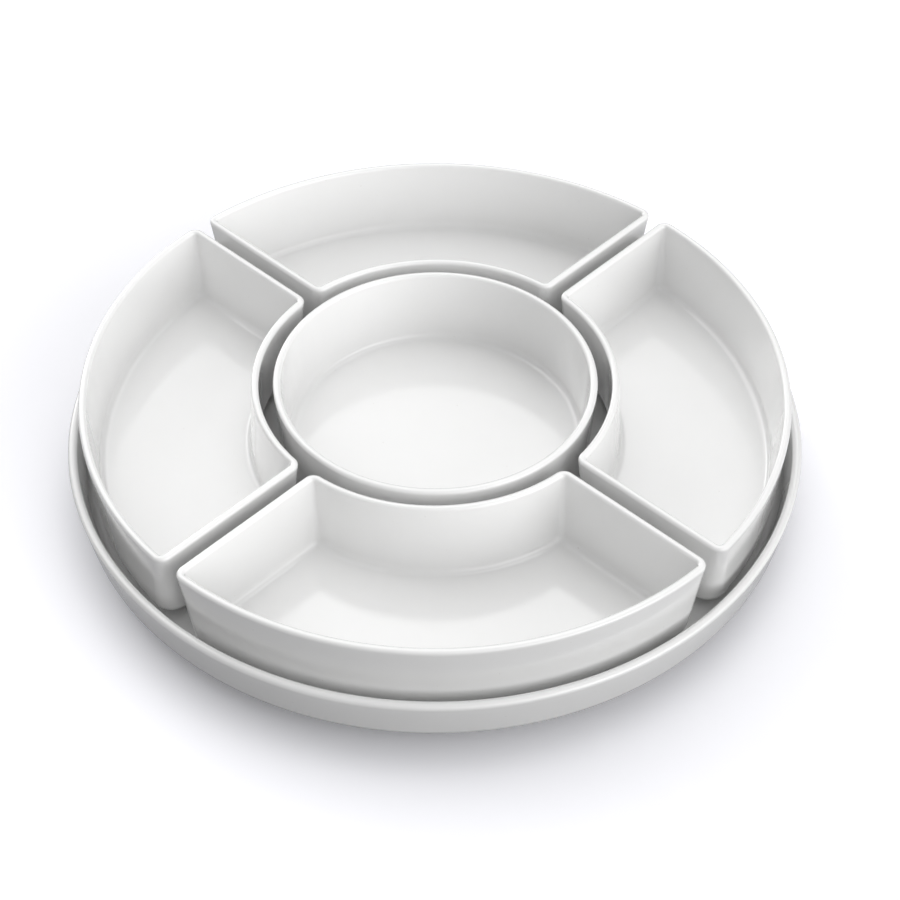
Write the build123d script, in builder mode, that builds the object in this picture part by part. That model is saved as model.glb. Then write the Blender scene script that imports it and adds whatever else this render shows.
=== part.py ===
"""Chip and dip server: a revolving porcelain tray, a round dip bowl and four sector bowls."""
from build123d import *
from math import cos, radians, sin, sqrt
import os

# Frame: millimetres, origin on the table under the centre, +Z up, -Y towards the user.

# Driving dimensions of the tray
TRAY_RADIUS = 165.3          # corner of the rim, before it is rounded
TRAY_HEIGHT = 24.5
TRAY_FLOOR = 5.5             # thickness under the bowls
TRAY_RIM = 4.3               # wall thickness at the rim
TRAY_FLARE = 4.2             # how far the wall's outside leans out over its height
TRAY_INNER_FLARE = 3.36      # and its inside, down to the floor
TRAY_RIM_ROUND = 2.0
TRAY_BASE_ROUND = 6.0        # outside, wall to underside
TRAY_FLOOR_ROUND = 4.0       # inside, wall to floor
TRAY_FOOT_RADIUS = 142.5     # unglazed ring under the tray
TRAY_FOOT_WIDTH = 5.0
TRAY_FOOT_HEIGHT = 1.5
STAND_OFF = 11.0             # clear height under the tray, filled by the turntable

# Driving dimensions of the bowls
BOWL_HEIGHT = 43.5
BOWL_DEPTH = 36.5            # from the rim to the inside floor
BOWL_WALL = 3.4
BOWL_DRAFT = 2.3             # how far each wall leans in from rim to base
BOWL_RIM_ROUND = 1.55        # on each edge of the rim
BOWL_BASE_ROUND = 7.0        # outside, wall to base
BOWL_FLOOR_ROUND = 3.2       # inside, wall to floor
BOWL_FOOT_HEIGHT = 2.2
BOWL_FOOT_WIDTH = 4.0
BOWL_FOOT_INSET = 14.0       # from the rim's outline to the foot
DIP_RADIUS = 72.3
SECTION_OUTER_RADIUS = 157.3
SECTION_INNER_RADIUS = 78.3
SECTION_GAP = 6.4            # between two neighbouring sector bowls
RIM_CORNER = 5.0             # upright outside corners of a sector bowl, at the rim
BASE_CORNER = 8.5            # and at the base
CAVITY_CORNER = 1.8          # upright inside corners, at the rim
FLOOR_CORNER = 3.6           # and at the inside floor
FOOT_CORNER = 6.0
SECTION_ANGLES = {"right": 0, "back": 90, "left": 180, "front": 270}

# Driving dimensions of the turntable
BALL_CIRCLE = 90.0           # radius of the ring of balls
BALL_RADIUS = 2.0
BALL_COUNT = 36
GROOVE_RADIUS = 2.2
RING_GAP = 1.6               # between the two rings
RING_WIDTH = 9.2
RING_HEIGHT = 7.0
RING_STEP = 1.1              # the top ring stands this much higher
RING_CHAMFER = 0.5
CAGE_THICKNESS = 0.8
CAGE_HEIGHT = 5.2
CAGE_HOLE_RADIUS = 2.1
PLUG_RADIUS = 2.5
PLUG_LENGTH = 6.9
PLUG_SLOT_WIDTH = 0.8
PLUG_SLOT_DEPTH = 1.2
PLUG_INSET = 0.3             # from the ring's outside to the plug's end
FOOT_COUNT = 6
FOOT_RADIUS = 3.5
FOOT_HEIGHT = 2.5
FOOT_RECESS = 1.0            # how far a rubber foot sits into the base ring
PAD_COUNT = 6
PAD_ARC = 34.0               # degrees
PAD_WIDTH = 7.0
EDGE_ROUND = 0.6             # small round on feet of every kind
FOOT_OVERLAP = 1.0           # how far a ring foot runs up into its dish
LEVEL_TOLERANCE = 0.1        # for picking the edges that lie at one level

# Levels and radii worked out from the above
tray_floor_z = STAND_OFF + TRAY_FLOOR
tray_rim_z = STAND_OFF + TRAY_HEIGHT
bowl_rim_z = tray_floor_z + BOWL_HEIGHT
bowl_base_z = tray_floor_z + BOWL_FOOT_HEIGHT
bowl_floor_z = bowl_rim_z - BOWL_DEPTH
base_ring_z = FOOT_HEIGHT - FOOT_RECESS
top_ring_z = base_ring_z + RING_STEP
pad_z = top_ring_z + RING_HEIGHT
ball_z = (top_ring_z + base_ring_z + RING_HEIGHT) / 2
top_ring_outer = BALL_CIRCLE - RING_GAP / 2
base_ring_inner = BALL_CIRCLE + RING_GAP / 2
base_ring_outer = base_ring_inner + RING_WIDTH
foot_circle = base_ring_inner + RING_WIDTH / 2

os.makedirs("parts", exist_ok=True)


def round_dish(section, radii, foot_z, foot_radius, foot_width):
    """Dish turned about Z from the corners of its half section, with a ring foot under it."""
    base_z = section[0][1]
    with BuildPart() as dish:
        with BuildSketch(Plane.XZ):
            with BuildLine():
                FilletPolyline(section, radius=radii, close=True)
            make_face()
        revolve(axis=Axis.Z)
        with BuildSketch(Plane.XY.offset(foot_z)):
            Circle(foot_radius + foot_width / 2)
            Circle(foot_radius - foot_width / 2, mode=Mode.SUBTRACT)
        extrude(amount=base_z - foot_z + FOOT_OVERLAP)
        fillet(dish.edges().group_by(Axis.Z)[0], radius=EDGE_ROUND)
    return dish


# Tray: a shallow dish with a flared wall and a rounded rim
tray_section = [
    (0, STAND_OFF),
    (TRAY_RADIUS - TRAY_FLARE, STAND_OFF),
    (TRAY_RADIUS, tray_rim_z),
    (TRAY_RADIUS - TRAY_RIM, tray_rim_z),
    (TRAY_RADIUS - TRAY_RIM - TRAY_INNER_FLARE, tray_floor_z),
    (0, tray_floor_z),
]
tray_radii = [0, TRAY_BASE_ROUND, TRAY_RIM_ROUND, TRAY_RIM_ROUND, TRAY_FLOOR_ROUND, 0]
tray = round_dish(
    tray_section, tray_radii, STAND_OFF - TRAY_FOOT_HEIGHT, TRAY_FOOT_RADIUS, TRAY_FOOT_WIDTH
)
tray.part.label = "tray"
export_step(tray.part, "parts/tray.step")


# Dip bowl: round, with nearly upright walls
dip_section = [
    (0, bowl_base_z),
    (DIP_RADIUS - BOWL_DRAFT, bowl_base_z),
    (DIP_RADIUS, bowl_rim_z),
    (DIP_RADIUS - BOWL_WALL, bowl_rim_z),
    (DIP_RADIUS - BOWL_WALL - BOWL_DRAFT, bowl_floor_z),
    (0, bowl_floor_z),
]
dip_radii = [0, BOWL_BASE_ROUND, BOWL_RIM_ROUND, BOWL_RIM_ROUND, BOWL_FLOOR_ROUND, 0]
dip_foot_radius = DIP_RADIUS - BOWL_FOOT_INSET - BOWL_FOOT_WIDTH / 2
dip_bowl = round_dish(dip_section, dip_radii, tray_floor_z, dip_foot_radius, BOWL_FOOT_WIDTH)
dip_bowl.part.label = "dip_bowl"
export_step(dip_bowl.part, "parts/dip_bowl.step")


# Sector bowls: a quarter of a ring each, with walls that lean in slightly towards the base
def section_outline(inset, corner):
    """Quarter of a ring opening along +X, set in from the rim's outline by the inset."""
    apex = (SECTION_GAP / 2 + inset) * sqrt(2)
    reach = 2 * SECTION_OUTER_RADIUS
    with BuildSketch() as outline:
        with BuildLine():
            Polyline((apex, 0), (apex + reach, -reach), (apex + reach, reach), close=True)
        make_face()
        Circle(SECTION_OUTER_RADIUS - inset, mode=Mode.INTERSECT)
        Circle(SECTION_INNER_RADIUS + inset, mode=Mode.SUBTRACT)
        fillet(outline.vertices(), radius=corner)
    return outline.sketch


def section_plane(angle, z):
    """Horizontal plane at level z whose +X runs along the middle of the sector."""
    return Plane(origin=(0, 0, z), x_dir=(cos(radians(angle)), sin(radians(angle)), 0))


rim_outline = section_outline(0, RIM_CORNER)
base_outline = section_outline(BOWL_DRAFT, BASE_CORNER)
mouth_outline = section_outline(BOWL_WALL, CAVITY_CORNER)
floor_outline = section_outline(BOWL_WALL + BOWL_DRAFT, FLOOR_CORNER)
foot_outline = section_outline(BOWL_FOOT_INSET, FOOT_CORNER)
foot_hollow = section_outline(BOWL_FOOT_INSET + BOWL_FOOT_WIDTH, FOOT_CORNER / 2)


def section_bowl(angle):
    """One sector bowl, standing on the tray floor on its ring foot."""
    with BuildPart() as bowl:
        with BuildSketch(section_plane(angle, bowl_base_z)):
            add(base_outline)
        with BuildSketch(section_plane(angle, bowl_rim_z)):
            add(rim_outline)
        loft(ruled=True)
        fillet(bowl.edges().group_by(Axis.Z)[0], radius=BOWL_BASE_ROUND)
        with BuildSketch(section_plane(angle, bowl_floor_z)):
            add(floor_outline)
        with BuildSketch(section_plane(angle, bowl_rim_z)):
            add(mouth_outline)
        loft(ruled=True, mode=Mode.SUBTRACT)
        floor_edges = bowl.edges().filter_by_position(
            Axis.Z, bowl_floor_z - LEVEL_TOLERANCE, bowl_floor_z + LEVEL_TOLERANCE
        )
        fillet(floor_edges, radius=BOWL_FLOOR_ROUND)
        fillet(bowl.edges().group_by(Axis.Z)[-1], radius=BOWL_RIM_ROUND)
        with BuildSketch(section_plane(angle, tray_floor_z)):
            add(foot_outline)
            add(foot_hollow, mode=Mode.SUBTRACT)
        extrude(amount=BOWL_FOOT_HEIGHT + FOOT_OVERLAP)
        fillet(bowl.edges().group_by(Axis.Z)[0], radius=EDGE_ROUND)
    return bowl


for side, angle in SECTION_ANGLES.items():
    bowl = section_bowl(angle)
    bowl.part.label = f"section_bowl_{side}"
    export_step(bowl.part, f"parts/section_bowl_{side}.step")


# Turntable rings: flat rings with chamfered edges and a ball groove in the facing sides
def grooved_ring(z, inner):
    """Ring standing on level z, one ring width wide, with the ball groove cut round it."""
    with BuildPart() as ring:
        with BuildSketch(Plane.XY.offset(z)):
            Circle(inner + RING_WIDTH)
            Circle(inner, mode=Mode.SUBTRACT)
        extrude(amount=RING_HEIGHT)
        chamfer(ring.edges().filter_by(GeomType.CIRCLE), length=RING_CHAMFER)
        with BuildSketch(Plane.XZ):
            with Locations((BALL_CIRCLE, ball_z)):
                Circle(GROOVE_RADIUS)
        revolve(axis=Axis.Z, mode=Mode.SUBTRACT)
    return ring


# Top ring: turns with the tray
top_ring = grooved_ring(top_ring_z, top_ring_outer - RING_WIDTH)
top_ring.part.label = "top_ring"
export_step(top_ring.part, "parts/top_ring.step")

# Base ring: recesses for the rubber feet and a hole at the back to load the balls through
plain_base_ring = grooved_ring(base_ring_z, base_ring_inner)
loading_plane = Plane(origin=(0, base_ring_outer, ball_z), x_dir=(1, 0, 0), z_dir=(0, 1, 0))
with BuildPart() as base_ring:
    add(plain_base_ring.part)
    with BuildSketch(Plane.XY.offset(base_ring_z)):
        with PolarLocations(foot_circle, FOOT_COUNT):
            Circle(FOOT_RADIUS)
    extrude(amount=FOOT_RECESS, mode=Mode.SUBTRACT)
    with BuildSketch(loading_plane):
        Circle(PLUG_RADIUS)
    extrude(amount=-2 * RING_WIDTH, mode=Mode.SUBTRACT)
base_ring.part.label = "base_ring"
export_step(base_ring.part, "parts/base_ring.step")

# Loading plug: fills that hole to just inside the ring's outside, with a slot for a driver
with BuildPart() as ball_loading_plug:
    with BuildSketch(loading_plane.offset(-PLUG_INSET)):
        Circle(PLUG_RADIUS)
    extrude(amount=-PLUG_LENGTH)
    with BuildSketch(loading_plane.offset(-PLUG_INSET)):
        Rectangle(2 * PLUG_RADIUS, PLUG_SLOT_WIDTH)
    extrude(amount=-PLUG_SLOT_DEPTH, mode=Mode.SUBTRACT)
ball_loading_plug.part.label = "ball_loading_plug"
export_step(ball_loading_plug.part, "parts/ball_loading_plug.step")

# Balls, and the plastic band that keeps them evenly spaced
with BuildPart() as bearing_balls:
    with Locations(Plane.XY.offset(ball_z)):
        with PolarLocations(BALL_CIRCLE, BALL_COUNT):
            Sphere(BALL_RADIUS)
bearing_balls.part.label = "bearing_balls"
export_step(bearing_balls.part, "parts/bearing_balls.step")

with BuildPart() as ball_cage:
    with BuildSketch(Plane.XY.offset(ball_z - CAGE_HEIGHT / 2)):
        Circle(BALL_CIRCLE + CAGE_THICKNESS / 2)
        Circle(BALL_CIRCLE - CAGE_THICKNESS / 2, mode=Mode.SUBTRACT)
    extrude(amount=CAGE_HEIGHT)
    with Locations(Plane.XY.offset(ball_z)):
        with PolarLocations(BALL_CIRCLE, BALL_COUNT):
            Cylinder(
                CAGE_HOLE_RADIUS, 3 * CAGE_THICKNESS, rotation=(0, 90, 0), mode=Mode.SUBTRACT
            )
ball_cage.part.label = "ball_cage"
export_step(ball_cage.part, "parts/ball_cage.step")

# Rubber feet, pressed into the base ring
with BuildPart() as rubber_feet:
    with BuildSketch():
        with PolarLocations(foot_circle, FOOT_COUNT):
            Circle(FOOT_RADIUS)
    extrude(amount=FOOT_HEIGHT)
    fillet(rubber_feet.edges().group_by(Axis.Z)[0], radius=EDGE_ROUND)
rubber_feet.part.label = "rubber_feet"
export_step(rubber_feet.part, "parts/rubber_feet.step")

# Adhesive pads: short arcs that bond the top ring to the underside of the tray
with BuildPart() as adhesive_pads:
    with BuildSketch(Plane.XY.offset(pad_z)):
        for index in range(PAD_COUNT):
            with BuildLine():
                start_angle = index * 360 / PAD_COUNT - PAD_ARC / 2
                middle = CenterArc((0, 0), top_ring_outer - RING_WIDTH / 2, start_angle, PAD_ARC)
            SlotArc(middle, PAD_WIDTH)
    extrude(amount=STAND_OFF - pad_z)
adhesive_pads.part.label = "adhesive_pads"
export_step(adhesive_pads.part, "parts/adhesive_pads.step")
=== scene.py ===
"""Looks of the chip and dip server: white glazed porcelain on a low turntable, in soft light."""
from math import acos, atan2, cos, log, pi, radians, sin, sqrt, tan

import bpy
from mathutils import Matrix, Vector, noise


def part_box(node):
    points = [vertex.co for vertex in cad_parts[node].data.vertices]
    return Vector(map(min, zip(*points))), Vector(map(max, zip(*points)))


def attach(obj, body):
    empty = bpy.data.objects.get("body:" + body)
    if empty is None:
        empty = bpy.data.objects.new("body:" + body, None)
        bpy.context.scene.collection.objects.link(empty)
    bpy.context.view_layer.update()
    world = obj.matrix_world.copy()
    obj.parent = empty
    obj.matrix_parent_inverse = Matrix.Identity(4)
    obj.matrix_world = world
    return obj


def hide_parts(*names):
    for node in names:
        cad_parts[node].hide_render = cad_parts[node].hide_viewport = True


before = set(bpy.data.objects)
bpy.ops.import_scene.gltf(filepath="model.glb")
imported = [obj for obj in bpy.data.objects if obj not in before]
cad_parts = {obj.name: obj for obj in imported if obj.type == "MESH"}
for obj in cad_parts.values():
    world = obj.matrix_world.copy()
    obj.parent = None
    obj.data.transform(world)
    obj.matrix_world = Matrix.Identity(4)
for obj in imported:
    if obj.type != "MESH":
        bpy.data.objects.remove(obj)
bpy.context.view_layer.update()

MM = 0.001
WARP_SEED = 1                    # any seed but 0, which would give other waves on every run

# Driving sizes of the porcelain, metres
BOWL_WALL = 3.4 * MM
BOWL_DRAFT = 2.3 * MM            # lean of a bowl's wall from rim to base
BOWL_DEPTH = 36.5 * MM
BOWL_BASE_ROUND = 7.0 * MM
BOWL_FLOOR_ROUND = 3.2 * MM
BOWL_RIM_ROUND = 1.6 * MM
BOWL_FOOT_HEIGHT = 2.2 * MM
BOWL_FOOT_WIDTH = 4.0 * MM
BOWL_FOOT_INSET = 14.0 * MM      # from the rim's outline to the foot
DIP_UNDER_INSET = 24.0 * MM      # where the flat faces in the middle of a bowl begin
DIP_FLOOR_INSET = 12.0 * MM
SECTION_UNDER_INSET = 20.0 * MM
SECTION_FLOOR_INSET = 11.0 * MM
SECTION_INNER_RADIUS = 78.3 * MM
SECTION_GAP = 6.4 * MM
RIM_CORNER = 5.0 * MM            # upright corners of a sector bowl
BASE_CORNER = 8.5 * MM
CAVITY_CORNER = RIM_CORNER - BOWL_WALL
FLOOR_CORNER = 3.6 * MM
FOOT_CORNER = 6.0 * MM
LEAST_INSIDE_CORNER = 0.4 * MM
LEAST_OUTSIDE_CORNER = 1.2 * MM
TRAY_RIM = 4.3 * MM
TRAY_FLARE = 4.2 * MM            # lean of the wall's outside, and of its inside
TRAY_INNER_FLARE = 3.36 * MM
TRAY_FLOOR = 5.5 * MM
TRAY_RIM_ROUND = 2.05 * MM
TRAY_BASE_ROUND = 6.0 * MM
TRAY_FLOOR_ROUND = 4.0 * MM
TRAY_ROUND_LOSS = 0.3 * MM       # how much of the radius the round on the rim takes off
TRAY_FOOT_HEIGHT = 1.5 * MM
TRAY_FOOT_WIDTH = 5.0 * MM
TRAY_FOOT_RADIUS = 142.5 * MM
TRAY_FLAT_RADIUS = 30.0 * MM     # radius of the flat faces in the middle
FOOT_ROUND = 0.6 * MM
SEAT_CLEARANCE = 0.05 * MM       # keeps glaze from touching glaze
TRAY_BARE_HEIGHT = 0.55 * MM     # unglazed bottom of a foot ring
BOWL_BARE_HEIGHT = 0.6 * MM

# How finely the meshes are divided
STEP_ANGLE = radians(11)         # along a rounded edge
EDGE_HOLD = 0.5 * MM             # from a rounded edge to the next loop
BOWL_SPACING = 3 * MM
TRAY_SPACING = 4 * MM
DIP_QUARTER = 48
TRAY_QUARTER = 72
ARC_STEPS = 56
SIDE_STEPS = 26
CORNER_STEPS = 5

# How far firing moves the clay, at the rim
DIP_WARP = 0.15 * MM
SECTION_WARP = 0.2 * MM
TRAY_WARP = 0.25 * MM
WARP_SCALE = 14                  # waves per metre
WARP_INWARD = 0.6                # steady part of the movement, towards the axis

SECTION_TURNS = {"right": 0, "back": 90, "left": 180, "front": 270}

# Studio: each soft light as height above the floor and heading from +X, in degrees, then how
# sharply it fades away from its middle, and its radiance
SOFT_LIGHTS = [
    (14, 120, 30, 4.1),
    (30, 125, 30, 1.5),
    (30, 150, 30, 1.5),
    (50, 60, 30, 1.0),
    (50, 90, 30, 1.7),
    (50, 120, 30, 0.9),
    (50, 150, 30, 1.3),
    (72, 30, 30, 1.7),
    (72, 90, 30, 1.0),
    (72, 150, 30, 0.5),
    (10, 315, 7, 3.4),
    (10, 0, 7, 1.1),
    (38, 285, 7, 0.6),
    (45, 225, 7, 0.45),
]
FLOOR_SIZE = 12
FLOOR_SEEN = (1.08, 1.08, 1.12)
FLOOR_BOUNCE = (0.10, 0.10, 0.10)
FLOOR_MIRRORED = 0.6             # share of the bright floor that the glaze mirrors

# Camera: lens in millimetres, place from the middle of the rims, and turns in degrees
CAMERA_LENS = 75.97
CAMERA_SENSOR = 36
CAMERA_PLACE = (0.0067, -0.6168, 0.5736)
CAMERA_HEADING = -1.908
CAMERA_TILT = 44.824
CAMERA_ROLL = 0.381


# ---------------------------------------------------------------- outlines and sections

def rounded_path(corners, radii, spacing):
    """Open 2-D path through the corners, each rounded by its radius, with even steps between."""
    path = []
    last = Vector(corners[0])
    for index in range(1, len(corners)):
        corner = Vector(corners[index])
        radius = radii[index]
        if radius == 0:
            add_straight(path, last, corner, spacing)
            last = corner
            continue
        incoming = (corner - Vector(corners[index - 1])).normalized()
        outgoing = (Vector(corners[index + 1]) - corner).normalized()
        turn = acos(max(-1.0, min(1.0, incoming.dot(outgoing))))
        reach = radius * tan(turn / 2)
        start = corner - incoming * reach
        add_straight(path, last, start, spacing)
        side = 1 if incoming.cross(outgoing) > 0 else -1
        centre = start + Vector((-incoming.y, incoming.x)) * radius * side
        spoke = start - centre
        steps = max(4, round(turn / STEP_ANGLE))
        for step in range(1, steps):
            path.append(centre + Matrix.Rotation(side * turn * step / steps, 2) @ spoke)
        last = corner + outgoing * reach
    path.append(last)
    return path


def add_straight(path, start, end, spacing):
    """Adds start and points towards end: one close to each end, the rest evenly spaced."""
    length = (end - start).length
    path.append(start)
    if length > 4 * EDGE_HOLD:
        steps = max(1, round((length - 2 * EDGE_HOLD) / spacing))
        for step in range(steps + 1):
            along = EDGE_HOLD + (length - 2 * EDGE_HOLD) * step / steps
            path.append(start.lerp(end, along / length))


def circle_outline(radius, quarter):
    """Circle as a loop of points that starts on a diagonal."""
    count = 4 * quarter
    angles = [2 * pi * (index / count) - pi / 4 for index in range(count)]
    return [Vector((radius * cos(a), radius * sin(a))) for a in angles]


def sector_outline(outer, inner, side, corner):
    """Quarter of a ring opening along +X, as a loop of points from its lower outer corner.

    side is the distance from a side wall to the diagonal it runs along.
    """
    along = Vector((1, 1)).normalized()
    across = Vector((1, -1)).normalized()
    offset = side + corner
    outer_mid = along * sqrt((outer - corner) ** 2 - offset ** 2) + across * offset
    inner_mid = along * sqrt((inner + corner) ** 2 - offset ** 2) + across * offset
    outer_angle = atan2(outer_mid.y, outer_mid.x)
    inner_angle = atan2(inner_mid.y, inner_mid.x)
    half = []
    half_arc = ARC_STEPS // 2
    for step in range(half_arc):
        angle = outer_angle * step / half_arc
        half.append(Vector((outer * cos(angle), outer * sin(angle))))
    half += corner_arc(outer_mid, corner, outer_angle, radians(135), 2 * CORNER_STEPS)
    outer_corner = len(half) - CORNER_STEPS - 1
    start = half[-1]
    end = inner_mid - across * corner
    half += [start.lerp(end, step / SIDE_STEPS) for step in range(1, SIDE_STEPS)]
    half += corner_arc(inner_mid, corner, radians(135), inner_angle + pi, 2 * CORNER_STEPS)
    for step in range(1, half_arc + 1):
        angle = inner_angle * (1 - step / half_arc)
        half.append(Vector((inner * cos(angle), inner * sin(angle))))
    mirrored = [Vector((p.x, -p.y)) for p in reversed(half[1:-1])]
    loop = half + mirrored
    shift = len(loop) - outer_corner
    return loop[shift:] + loop[:shift]


def corner_arc(centre, radius, start, end, steps):
    """Points of an arc from start to end, both angles from +X."""
    angles = [start + (end - start) * step / steps for step in range(steps + 1)]
    return [centre + Vector((cos(a), sin(a))) * radius for a in angles]


# ---------------------------------------------------------------- porcelain meshes

class Shell:
    """Mesh lofted through stacked loops of equal length, with one flat face across each end."""

    def __init__(self):
        self.verts = []
        self.faces = []
        self.last_loop = None

    def add_loop(self, outline, z):
        """Adds one loop of points at height z and joins it to the loop before."""
        start = len(self.verts)
        self.verts += [Vector((point.x, point.y, z)) for point in outline]
        loop = list(range(start, len(self.verts)))
        if self.last_loop is None:
            self.faces.append(loop[::-1])
        else:
            for i, j in zip(range(len(loop)), list(range(1, len(loop))) + [0]):
                self.faces.append((self.last_loop[i], self.last_loop[j], loop[j], loop[i]))
        self.last_loop = loop

    def build(self, name, turn=0.0):
        """Closes the top and makes the object, turned about Z."""
        self.faces.append(self.last_loop)
        rotation = Matrix.Rotation(radians(turn), 4, "Z")
        mesh = bpy.data.meshes.new(name)
        mesh.from_pydata([rotation @ point for point in self.verts], [], self.faces)
        mesh.polygons.foreach_set("use_smooth", [True] * len(mesh.polygons))
        piece = bpy.data.objects.new(name, mesh)
        bpy.context.scene.collection.objects.link(piece)
        return piece


def kiln_warp(piece, seed, amount, base_z, top_z):
    """Slight unevenness of fired clay: walls wander and the rim dips, and the foot stays true."""
    shift = Vector((seed * 3.7, seed * 1.3, seed * 0.7))
    for vertex in piece.data.vertices:
        rise = max(0.0, (vertex.co.z - base_z) / (top_z - base_z))
        wander = noise.noise_vector(vertex.co * WARP_SCALE + shift)
        inward = Vector((-vertex.co.x, -vertex.co.y, 0)).normalized() * amount
        sideways = Vector((wander.x, wander.y, 0)) * amount
        dip = Vector((0, 0, -abs(wander.z) * amount))
        vertex.co += (sideways + inward * WARP_INWARD + dip) * rise


def bowl_path(rim_z, foot_z, under_inset, floor_inset):
    """Half section of a bowl, from under its middle to its floor.

    Each point is (inset from the rim's outline, height).
    """
    base_z = foot_z + BOWL_FOOT_HEIGHT
    floor_z = rim_z - BOWL_DEPTH
    foot_inner = BOWL_FOOT_INSET + BOWL_FOOT_WIDTH
    corners = [
        (under_inset, base_z),
        (foot_inner, base_z),
        (foot_inner, foot_z),
        (BOWL_FOOT_INSET, foot_z),
        (BOWL_FOOT_INSET, base_z),
        (BOWL_DRAFT, base_z),
        (0, rim_z),
        (BOWL_WALL, rim_z),
        (BOWL_WALL + BOWL_DRAFT, floor_z),
        (floor_inset, floor_z),
    ]
    rounds = [
        0, FOOT_ROUND, FOOT_ROUND, FOOT_ROUND, FOOT_ROUND,
        BOWL_BASE_ROUND, BOWL_RIM_ROUND, BOWL_RIM_ROUND, BOWL_FLOOR_ROUND, 0,
    ]
    return rounded_path(corners, rounds, BOWL_SPACING)


def make_dip_bowl():
    """The round bowl in the middle."""
    low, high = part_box("dip_bowl")
    radius = (high.x - low.x) / 2
    foot_z = low.z + SEAT_CLEARANCE
    shell = Shell()
    for inset, z in bowl_path(high.z, foot_z, DIP_UNDER_INSET, DIP_FLOOR_INSET):
        shell.add_loop(circle_outline(radius - inset, DIP_QUARTER), z)
    piece = shell.build("dip_bowl_porcelain")
    kiln_warp(piece, 1, DIP_WARP, high.z - BOWL_DEPTH, high.z)
    return piece


def sector_corner(inset, z, rim_z, inside):
    """Upright corner radius of a sector bowl's outline at a point of its section."""
    fall = (rim_z - z) / BOWL_DEPTH
    if inside:
        corner = CAVITY_CORNER + (FLOOR_CORNER - CAVITY_CORNER) * fall
        return max(LEAST_INSIDE_CORNER, corner - (inset - BOWL_WALL - BOWL_DRAFT * fall))
    if inset > BOWL_FOOT_INSET - 2 * MM:
        return FOOT_CORNER - (inset - BOWL_FOOT_INSET) * 0.5
    corner = RIM_CORNER + (BASE_CORNER - RIM_CORNER) * fall
    return max(LEAST_OUTSIDE_CORNER, corner - max(0.0, inset - BOWL_DRAFT * fall))


def make_section_bowl(side, turn, seed):
    """One of the four sector bowls."""
    low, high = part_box("section_bowl_right")
    outer = high.x
    foot_z = low.z + SEAT_CLEARANCE
    path = bowl_path(high.z, foot_z, SECTION_UNDER_INSET, SECTION_FLOOR_INSET)
    top = max(range(len(path)), key=lambda i: path[i][1])
    shell = Shell()
    for index, (inset, z) in enumerate(path):
        inside = index > top and inset > BOWL_WALL - 0.01 * MM
        corner = sector_corner(inset, z, high.z, inside)
        wall = SECTION_GAP / 2 + inset
        outline = sector_outline(outer - inset, SECTION_INNER_RADIUS + inset, wall, corner)
        shell.add_loop(outline, z)
    piece = shell.build(f"section_bowl_{side}_porcelain", turn)
    kiln_warp(piece, seed, SECTION_WARP, high.z - BOWL_DEPTH, high.z)
    return piece


def make_tray():
    """The round tray with its low flared wall."""
    low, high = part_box("tray")
    radius = (high.x - low.x) / 2 + TRAY_ROUND_LOSS
    base_z = low.z + TRAY_FOOT_HEIGHT
    foot_outer = radius - TRAY_FOOT_RADIUS - TRAY_FOOT_WIDTH / 2
    foot_inner = foot_outer + TRAY_FOOT_WIDTH
    corners = [
        (radius - TRAY_FLAT_RADIUS, base_z),
        (foot_inner, base_z),
        (foot_inner, low.z),
        (foot_outer, low.z),
        (foot_outer, base_z),
        (TRAY_FLARE, base_z),
        (0, high.z),
        (TRAY_RIM, high.z),
        (TRAY_RIM + TRAY_INNER_FLARE, base_z + TRAY_FLOOR),
        (radius - TRAY_FLAT_RADIUS, base_z + TRAY_FLOOR),
    ]
    rounds = [
        0, FOOT_ROUND, FOOT_ROUND, FOOT_ROUND, FOOT_ROUND,
        TRAY_BASE_ROUND, TRAY_RIM_ROUND, TRAY_RIM_ROUND, TRAY_FLOOR_ROUND, 0,
    ]
    shell = Shell()
    for inset, z in rounded_path(corners, rounds, TRAY_SPACING):
        shell.add_loop(circle_outline(radius - inset, TRAY_QUARTER), z)
    piece = shell.build("tray_porcelain")
    kiln_warp(piece, 9, TRAY_WARP, base_z + TRAY_FLOOR, high.z)
    return piece


# ---------------------------------------------------------------- materials

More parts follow.
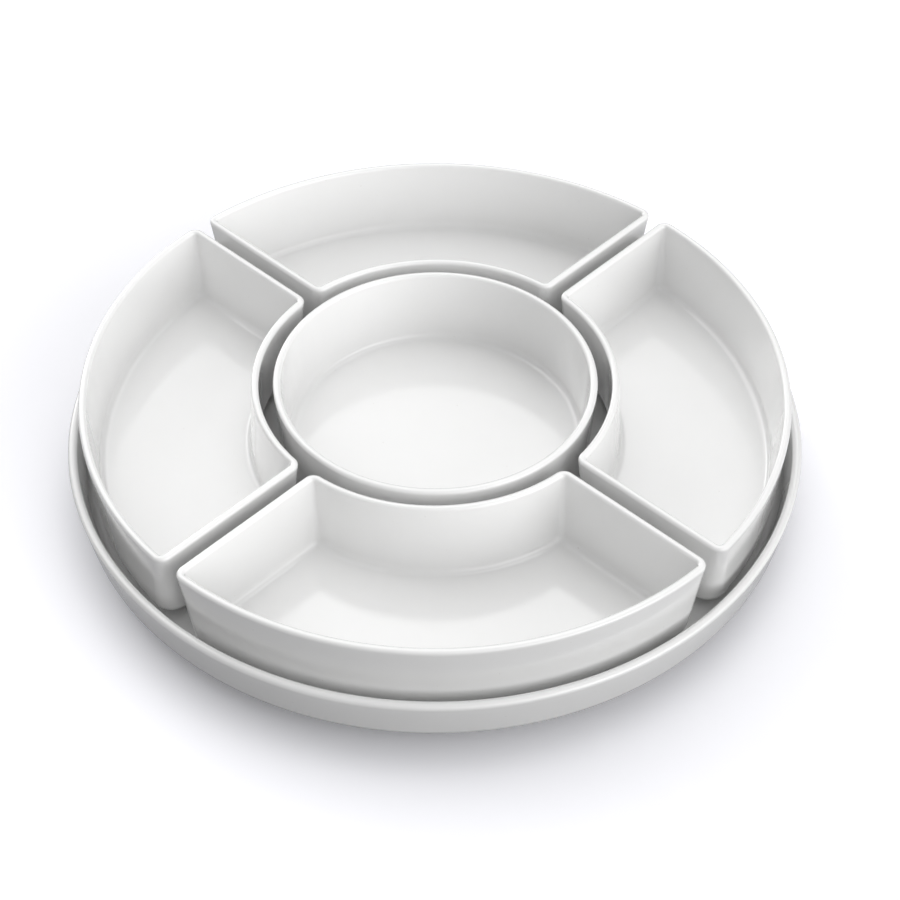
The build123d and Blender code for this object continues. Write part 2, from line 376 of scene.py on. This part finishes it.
class Nodes:
    """Small helper that writes a material's node tree from top to bottom."""

    def __init__(self, name):
        self.material = bpy.data.materials.new(name)
        self.material.use_nodes = True
        self.tree = self.material.node_tree
        self.shader = self.tree.nodes["Principled BSDF"]
        self.coords = self.tree.nodes.new("ShaderNodeTexCoord").outputs["Object"]

    def set(self, **values):
        """Sets the shader's own sockets; an underscore in a name stands for a space."""
        for key, value in values.items():
            self.shader.inputs[key.replace("_", " ")].default_value = value

    def link(self, output, socket):
        self.tree.links.new(output, self.shader.inputs[socket])

    def noise(self, scale, detail=3.0, roughness=0.5):
        """Noise with the given number of features per metre."""
        node = self.tree.nodes.new("ShaderNodeTexNoise")
        node.inputs["Scale"].default_value = scale
        node.inputs["Detail"].default_value = detail
        node.inputs["Roughness"].default_value = roughness
        self.tree.links.new(self.coords, node.inputs["Vector"])
        return node.outputs["Fac"]

    def ramp(self, value, low, high, start, end):
        """Maps value from low..high to start..end, which are numbers."""
        node = self.tree.nodes.new("ShaderNodeMapRange")
        node.inputs["From Min"].default_value = low
        node.inputs["From Max"].default_value = high
        node.inputs["To Min"].default_value = start
        node.inputs["To Max"].default_value = end
        self.tree.links.new(value, node.inputs["Value"])
        return node.outputs["Result"]

    def math(self, operation, first, second=None):
        node = self.tree.nodes.new("ShaderNodeMath")
        node.operation = operation
        for socket, value in zip(node.inputs, (first, second)):
            if isinstance(value, (int, float)):
                socket.default_value = value
            elif value is not None:
                self.tree.links.new(value, socket)
        return node.outputs[0]

    def mix(self, factor, first, second):
        """Mix of two colours, each a tuple or an output."""
        node = self.tree.nodes.new("ShaderNodeMix")
        node.data_type = "RGBA"
        self.tree.links.new(factor, node.inputs["Factor"])
        for name, value in (("A", first), ("B", second)):
            socket = [s for s in node.inputs if s.name == name and s.type == "RGBA"][0]
            if isinstance(value, tuple):
                socket.default_value = (*value, 1.0)
            else:
                self.tree.links.new(value, socket)
        return [s for s in node.outputs if s.type == "RGBA"][0]

    def bump(self, height, strength, distance, normal=None):
        node = self.tree.nodes.new("ShaderNodeBump")
        node.inputs["Strength"].default_value = strength
        node.inputs["Distance"].default_value = distance
        self.tree.links.new(height, node.inputs["Height"])
        if normal is not None:
            self.tree.links.new(normal, node.inputs["Normal"])
        return node.outputs["Normal"]

    def axis_distance(self):
        """Distance of the shaded point from the turning axis, in metres."""
        split = self.tree.nodes.new("ShaderNodeSeparateXYZ")
        self.tree.links.new(self.coords, split.inputs[0])
        across = self.math("POWER", split.outputs["X"], 2.0)
        along = self.math("POWER", split.outputs["Y"], 2.0)
        return self.math("SQRT", self.math("ADD", across, along))


def glaze_material(name, white, shade):
    """Glossy white glaze: soft tone changes, orange peel, a few pinholes and a very fine speck."""
    nodes = Nodes(name)
    cloud = nodes.ramp(nodes.noise(22, 4.0, 0.6), 0.3, 0.7, 0.0, 1.0)
    tone = nodes.mix(cloud, white, shade)
    speck = nodes.ramp(nodes.noise(900, 1.0, 0.3), 0.80, 0.86, 0.0, 0.5)
    tone = nodes.mix(speck, tone, (0.55, 0.52, 0.48))
    nodes.link(tone, "Base Color")
    nodes.link(nodes.ramp(nodes.noise(60, 3.0), 0.3, 0.7, 0.12, 0.18), "Roughness")
    wave = nodes.bump(nodes.noise(30, 1.0, 0.4), 1.0, 0.07 * MM)
    peel = nodes.bump(nodes.noise(420, 2.0, 0.5), 1.0, 0.012 * MM, wave)
    pinhole = nodes.ramp(nodes.noise(650, 0.0), 0.12, 0.16, 0.0, 1.0)
    nodes.link(nodes.bump(pinhole, 1.0, 0.03 * MM, peel), "Normal")
    nodes.set(IOR=1.5, Coat_Weight=1.0, Coat_Roughness=0.12, Coat_IOR=1.55)
    return nodes.material


def biscuit_material():
    """Bare fired porcelain on the foot rings: matt, warm and finely grained, a little rubbed."""
    nodes = Nodes("bare_biscuit")
    rub = nodes.ramp(nodes.noise(140, 5.0, 0.7), 0.45, 0.75, 0.0, 0.6)
    nodes.link(nodes.mix(rub, (0.80, 0.77, 0.71), (0.62, 0.59, 0.55)), "Base Color")
    nodes.link(nodes.ramp(nodes.noise(300, 3.0), 0.3, 0.7, 0.75, 0.95), "Roughness")
    nodes.link(nodes.bump(nodes.noise(2600, 4.0, 0.7), 1.0, 0.03 * MM), "Normal")
    return nodes.material


def turned_metal(name, colour, shade, line_pitch, roughness):
    """Metal turned on a lathe: fine circles about the axis, with slight streaks of tone."""
    nodes = Nodes(name)
    distance = nodes.axis_distance()
    lines = nodes.math("SINE", nodes.math("MULTIPLY", distance, 2 * pi / line_pitch))
    streak = nodes.noise(90, 4.0, 0.6)
    uneven = nodes.math("MULTIPLY", lines, nodes.ramp(streak, 0.3, 0.7, 0.4, 1.0))
    nodes.link(nodes.mix(nodes.ramp(streak, 0.3, 0.7, 0.0, 1.0), colour, shade), "Base Color")
    dull = nodes.ramp(nodes.noise(240, 3.0), 0.3, 0.7, roughness, roughness + 0.12)
    nodes.link(dull, "Roughness")
    nodes.link(nodes.bump(uneven, 0.6, 0.01 * MM), "Normal")
    nodes.set(Metallic=1.0)
    return nodes.material


def polished_steel():
    """Bearing balls: bright steel with faint tracks of wear."""
    nodes = Nodes("polished_steel")
    wear = nodes.ramp(nodes.noise(900, 5.0, 0.7), 0.4, 0.7, 0.0, 1.0)
    nodes.link(nodes.mix(wear, (0.80, 0.80, 0.82), (0.62, 0.61, 0.60)), "Base Color")
    nodes.link(nodes.ramp(wear, 0.0, 1.0, 0.08, 0.22), "Roughness")
    nodes.set(Metallic=1.0)
    return nodes.material


def moulded_nylon():
    """Ball cage: natural nylon with a slightly waxy skin."""
    nodes = Nodes("moulded_nylon")
    cloud = nodes.noise(180, 4.0, 0.6)
    nodes.link(nodes.mix(cloud, (0.80, 0.77, 0.66), (0.72, 0.68, 0.57)), "Base Color")
    nodes.link(nodes.ramp(cloud, 0.3, 0.7, 0.38, 0.52), "Roughness")
    nodes.link(nodes.bump(nodes.noise(1500, 3.0), 0.5, 0.02 * MM), "Normal")
    nodes.set(Subsurface_Weight=0.15, Subsurface_Scale=0.001)
    return nodes.material


def black_rubber():
    """Feet: black rubber with a fine moulded grain, greyed where it has rubbed."""
    nodes = Nodes("black_rubber")
    dust = nodes.ramp(nodes.noise(350, 5.0, 0.7), 0.5, 0.8, 0.0, 0.7)
    nodes.link(nodes.mix(dust, (0.022, 0.022, 0.023), (0.09, 0.088, 0.085)), "Base Color")
    nodes.link(nodes.ramp(nodes.noise(500, 3.0), 0.3, 0.7, 0.6, 0.8), "Roughness")
    nodes.link(nodes.bump(nodes.noise(2200, 4.0, 0.6), 0.8, 0.05 * MM), "Normal")
    return nodes.material


def silicone():
    """Set adhesive: milky, soft-looking and slightly uneven."""
    nodes = Nodes("milky_silicone")
    cloud = nodes.noise(260, 4.0, 0.6)
    nodes.link(nodes.mix(cloud, (0.78, 0.78, 0.75), (0.66, 0.66, 0.63)), "Base Color")
    nodes.link(nodes.ramp(cloud, 0.3, 0.7, 0.35, 0.5), "Roughness")
    nodes.link(nodes.bump(nodes.noise(400, 3.0), 0.6, 0.1 * MM), "Normal")
    nodes.set(Subsurface_Weight=0.3, Subsurface_Scale=0.002)
    return nodes.material


# ---------------------------------------------------------------- the object

def dress(piece, glaze, biscuit, bare_low, bare_high):
    """Glaze all over, with bare biscuit on the faces that lie between the two heights."""
    piece.data.materials.append(glaze)
    piece.data.materials.append(biscuit)
    for face in piece.data.polygons:
        if bare_low <= face.center.z <= bare_high:
            face.material_index = 1


def place(piece, node, body):
    """The piece stands for the CAD node and moves with its body."""
    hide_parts(node)
    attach(piece, body)


def coat(node, material):
    """Gives a CAD node, which keeps its own shape, a better material."""
    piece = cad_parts[node]
    piece.data.materials.clear()
    piece.data.materials.append(material)


noise.seed_set(WARP_SEED)
tray_glaze = glaze_material("tray_porcelain_glaze", (0.865, 0.865, 0.862), (0.85, 0.85, 0.846))
bowl_glaze = glaze_material("bowl_porcelain_glaze", (0.87, 0.87, 0.867), (0.856, 0.856, 0.852))
biscuit = biscuit_material()

tray = make_tray()
tray_foot_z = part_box("tray")[0].z
dress(tray, tray_glaze, biscuit, tray_foot_z, tray_foot_z + TRAY_BARE_HEIGHT)
place(tray, "tray", "tray")

bowl_foot_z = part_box("dip_bowl")[0].z
dip_bowl = make_dip_bowl()
dress(dip_bowl, bowl_glaze, biscuit, bowl_foot_z, bowl_foot_z + BOWL_BARE_HEIGHT)
place(dip_bowl, "dip_bowl", "dip_bowl")

for seed, (side, turn) in enumerate(SECTION_TURNS.items(), start=2):
    bowl = make_section_bowl(side, turn, seed)
    dress(bowl, bowl_glaze, biscuit, bowl_foot_z, bowl_foot_z + BOWL_BARE_HEIGHT)
    place(bowl, f"section_bowl_{side}", f"section_bowl_{side}")

ring_metal = turned_metal(
    "ring_aluminium", (0.72, 0.73, 0.74), (0.62, 0.63, 0.64), line_pitch=0.22 * MM, roughness=0.28
)
plug_metal = turned_metal(
    "plug_steel", (0.55, 0.55, 0.56), (0.42, 0.42, 0.43), line_pitch=0.3 * MM, roughness=0.3
)
coat("top_ring", ring_metal)
coat("base_ring", ring_metal)
coat("ball_loading_plug", plug_metal)
coat("bearing_balls", polished_steel())
coat("ball_cage", moulded_nylon())
coat("rubber_feet", black_rubber())
coat("adhesive_pads", silicone())


# ---------------------------------------------------------------- stage, camera and light

def make_floor():
    """Plain white sweep: bright to the camera, while the object gets only part of its bounce."""
    bpy.ops.mesh.primitive_plane_add(size=FLOOR_SIZE)
    floor = bpy.context.object
    floor.name = "studio_floor"
    nodes = Nodes("studio_white")
    tree = nodes.tree
    dimmer_seen = tuple(0.99 * channel for channel in FLOOR_SEEN)
    dimmer_bounce = tuple(0.98 * channel for channel in FLOOR_BOUNCE)
    seen = nodes.mix(nodes.noise(6, 2.0), FLOOR_SEEN, dimmer_seen)
    bounced = nodes.mix(nodes.noise(6, 2.0), FLOOR_BOUNCE, dimmer_bounce)
    path = tree.nodes.new("ShaderNodeLightPath")
    choice = tree.nodes.new("ShaderNodeMixShader")
    mirrored = nodes.math("MULTIPLY", path.outputs["Is Glossy Ray"], FLOOR_MIRRORED)
    share = nodes.math("MAXIMUM", path.outputs["Is Camera Ray"], mirrored)
    tree.links.new(share, choice.inputs["Fac"])
    for slot, colour in ((1, bounced), (2, seen)):
        diffuse = tree.nodes.new("ShaderNodeBsdfDiffuse")
        tree.links.new(colour, diffuse.inputs["Color"])
        tree.links.new(diffuse.outputs["BSDF"], choice.inputs[slot])
    tree.links.new(choice.outputs["Shader"], tree.nodes["Material Output"].inputs["Surface"])
    floor.data.materials.append(nodes.material)


def make_camera(rim_z):
    """Looks down from the front at the picture's angle."""
    data = bpy.data.cameras.new("camera")
    data.lens = CAMERA_LENS
    data.sensor_width = CAMERA_SENSOR
    camera = bpy.data.objects.new("camera", data)
    bpy.context.scene.collection.objects.link(camera)
    heading = Matrix.Rotation(radians(CAMERA_HEADING), 4, "Z")
    tilt = Matrix.Rotation(radians(CAMERA_TILT), 4, "X")
    roll = Matrix.Rotation(radians(CAMERA_ROLL), 4, "Z")
    rim_centre = Matrix.Translation((0, 0, rim_z))
    away = Matrix.Translation(CAMERA_PLACE)
    camera.matrix_world = rim_centre @ heading @ away @ tilt @ roll
    bpy.context.scene.camera = camera


def make_surround():
    """Sky of wide soft lights, each a smooth lobe, and plain white where the camera sees it."""
    world = bpy.data.worlds.new("studio")
    bpy.context.scene.world = world
    world.use_nodes = True
    tree = world.node_tree
    direction = tree.nodes.new("ShaderNodeTexCoord").outputs["Generated"]
    total = None
    for height, heading, sharpness, radiance in SOFT_LIGHTS:
        turn = radians(heading)
        aim = Vector((cos(turn), sin(turn), tan(radians(height)))).normalized()
        facing = tree.nodes.new("ShaderNodeVectorMath")
        facing.operation = "DOT_PRODUCT"
        facing.inputs[1].default_value = aim
        tree.links.new(direction, facing.inputs[0])
        falloff = tree.nodes.new("ShaderNodeMath")
        falloff.operation = "MULTIPLY_ADD"
        falloff.inputs[1].default_value = sharpness
        falloff.inputs[2].default_value = log(radiance) - sharpness
        tree.links.new(facing.outputs["Value"], falloff.inputs[0])
        lobe = tree.nodes.new("ShaderNodeMath")
        lobe.operation = "EXPONENT"
        tree.links.new(falloff.outputs["Value"], lobe.inputs[0])
        if total is None:
            total = lobe.outputs["Value"]
            continue
        both = tree.nodes.new("ShaderNodeMath")
        tree.links.new(total, both.inputs[0])
        tree.links.new(lobe.outputs["Value"], both.inputs[1])
        total = both.outputs["Value"]
    seen = tree.nodes.new("ShaderNodeMath")
    seen.operation = "MAXIMUM"
    tree.links.new(total, seen.inputs[0])
    tree.links.new(tree.nodes.new("ShaderNodeLightPath").outputs["Is Camera Ray"], seen.inputs[1])
    tree.links.new(seen.outputs["Value"], tree.nodes["Background"].inputs["Strength"])
    tree.nodes["Background"].inputs["Color"].default_value = (1.0, 1.0, 1.0, 1.0)


make_floor()
make_camera(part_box("dip_bowl")[1].z)
make_surround()
bpy.context.scene.view_settings.view_transform = "Standard"
